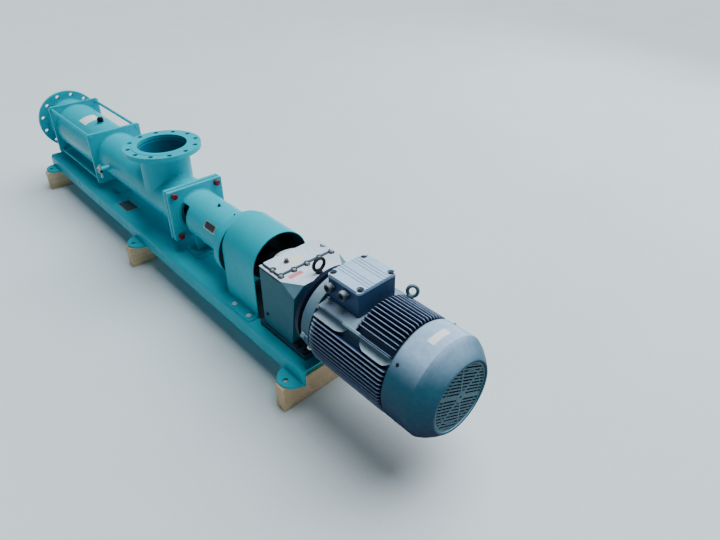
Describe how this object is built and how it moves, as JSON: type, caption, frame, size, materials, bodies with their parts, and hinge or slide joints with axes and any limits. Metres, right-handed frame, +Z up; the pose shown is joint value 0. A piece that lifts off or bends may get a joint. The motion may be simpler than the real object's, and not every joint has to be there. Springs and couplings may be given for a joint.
{
  "type": "single screw pump",
  "caption": "Single screw pump in line with coupling, helical reducer and finned motor on a folded steel base, with flanged top suction and end discharge.",
  "frame": {"origin": "on the floor under the middle of the whole machine", "axes": "+X along the pump axis from the discharge flange to the motor, +Z up, -Y the side with the drain valve and cable glands"},
  "size_m": [3.665, 0.572, 0.701],
  "materials": {
    "teal_paint": "gloss",
    "slate_paint": "satin",
    "timber": "rough sawn",
    "stator_rubber": "matt",
    "black_plastic": "matt",
    "bright_steel": "machined",
    "dark_iron": "painted dark",
    "vent_brass": "dull"
  },
  "bodies": {
    "pump_set": {"base_channel": "teal_paint", "bearer_discharge_end": "timber", "bearer_middle": "timber", "bearer_motor_end": "timber", "discharge_branch": "teal_paint", "end_plate_discharge": "teal_paint", "end_plate_suction": "teal_paint", "stator_tube": "teal_paint", "stator_liner": "stator_rubber", "stator_plug": "black_plastic", "tie_rod_1": "teal_paint", "tie_rod_2": "teal_paint", "tie_rod_3": "teal_paint", "tie_rod_4": "teal_paint", "suction_casing": "teal_paint", "suction_flange": "teal_paint", "casing_foot": "teal_paint", "drain_valve_body": "bright_steel", "casing_plate": "teal_paint", "housing_plate": "teal_paint", "gland": "dark_iron", "bearing_housing": "teal_paint", "housing_foot": "teal_paint", "coupling_guard": "teal_paint", "reducer_case": "slate_paint", "reducer_cover": "slate_paint", "reducer_vent": "vent_brass", "reducer_eye": "dark_iron", "reducer_flange": "slate_paint", "motor_flange": "slate_paint", "motor_frame": "slate_paint", "terminal_box": "slate_paint", "terminal_lid": "slate_paint", "cable_gland_1": "slate_paint", "cable_gland_2": "slate_paint", "motor_eye": "slate_paint", "fan_cover": "slate_paint", "fan_grille": "slate_paint"},
    "drive_line": {"drive_shaft": "bright_steel", "coupling_pump_half": "dark_iron", "coupling_drive_half": "dark_iron"},
    "connecting_rod": {"connecting_rod": "bright_steel"},
    "rotor": {"rotor": "bright_steel"},
    "motor_fan": {"motor_fan": "black_plastic"},
    "drain_lever": {"drain_valve_lever": "bright_steel"}
  },
  "joints": [
    {"name": "drive_spin", "type": "hinge", "parent": "pump_set", "child": "drive_line", "pos_m": [0.3315, 0, 0.417], "axis": [1, 0, 0], "continuous": true},
    {"name": "rod_orbit", "type": "hinge", "parent": "pump_set", "child": "connecting_rod", "pos_m": [-0.1685, 0, 0.417], "axis": [1, 0, 0], "continuous": true},
    {"name": "rotor_spin", "type": "hinge", "parent": "connecting_rod", "child": "rotor", "pos_m": [-0.9265, 0.025, 0.417], "axis": [1, 0, 0], "continuous": true},
    {"name": "fan_spin", "type": "hinge", "parent": "pump_set", "child": "motor_fan", "pos_m": [1.6815, 0, 0.409], "axis": [1, 0, 0], "continuous": true},
    {"name": "drain_lever_turn", "type": "hinge", "parent": "pump_set", "child": "drain_lever", "pos_m": [-0.7845, -0.196, 0.425], "axis": [-1, 0, 0], "range_deg": [0, 90]}
  ],
  "couplings": [
    {"joint": "rod_orbit", "follows": "drive_spin", "ratio": -1},
    {"joint": "rotor_spin", "follows": "drive_spin", "ratio": 2},
    {"joint": "fan_spin", "follows": "drive_spin", "ratio": 6}
  ]
}
